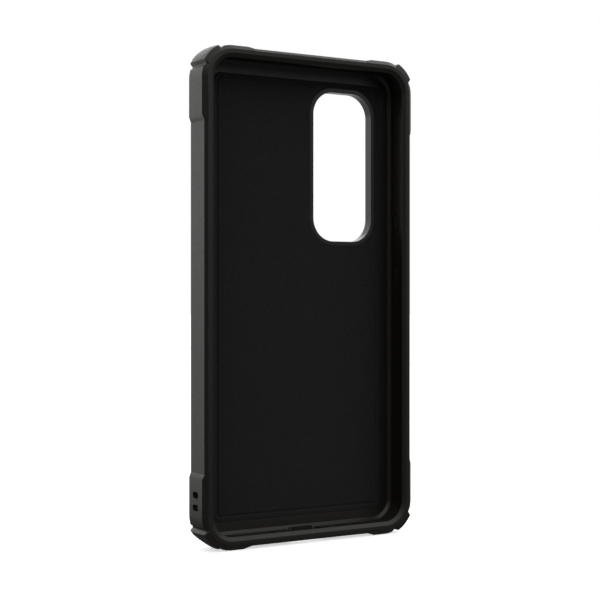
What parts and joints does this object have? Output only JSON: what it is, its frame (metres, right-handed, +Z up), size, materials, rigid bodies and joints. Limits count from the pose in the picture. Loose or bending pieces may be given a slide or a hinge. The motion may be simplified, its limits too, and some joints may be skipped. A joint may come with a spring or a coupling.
{
  "type": "phone case",
  "caption": "Rugged handset case: soft frame with screen lip, corner bumpers, rigid back plate, camera guard, liner and sprung side keys.",
  "frame": {"origin": "middle of the base that the case stands on, under the middle of its bounding box", "axes": "+X across the case to the keys' side, +Y from the open front to the back, +Z up along its height"},
  "size_m": [0.083, 0.0138, 0.1657],
  "materials": {
    "soft_elastomer": "fine moulded texture, matt",
    "tough_elastomer": "fine moulded texture, matt",
    "matt_polycarbonate": "spark-eroded texture, matt",
    "guard_polycarbonate": "satin",
    "microfibre": "brushed",
    "key_polycarbonate": "fine texture, matt"
  },
  "bodies": {
    "case": {"bumper_frame": "soft_elastomer", "corner_bumper_top_left": "tough_elastomer", "corner_bumper_top_right": "tough_elastomer", "corner_bumper_bottom_left": "tough_elastomer", "corner_bumper_bottom_right": "tough_elastomer", "back_plate": "matt_polycarbonate", "camera_guard": "guard_polycarbonate", "liner": "microfibre"},
    "volume_up_key": {"volume_up_key": "key_polycarbonate"},
    "volume_down_key": {"volume_down_key": "key_polycarbonate"},
    "power_key": {"power_key": "key_polycarbonate"}
  },
  "joints": [
    {"name": "volume_up_press", "type": "slide", "parent": "case", "child": "volume_up_key", "axis": [-1, 0, 0], "range_m": [0, 0.0004], "stiffness_N_per_m": 1500},
    {"name": "volume_down_press", "type": "slide", "parent": "case", "child": "volume_down_key", "axis": [-1, 0, 0], "range_m": [0, 0.0004], "stiffness_N_per_m": 1500},
    {"name": "power_press", "type": "slide", "parent": "case", "child": "power_key", "axis": [-1, 0, 0], "range_m": [0, 0.0004], "stiffness_N_per_m": 1500}
  ]
}
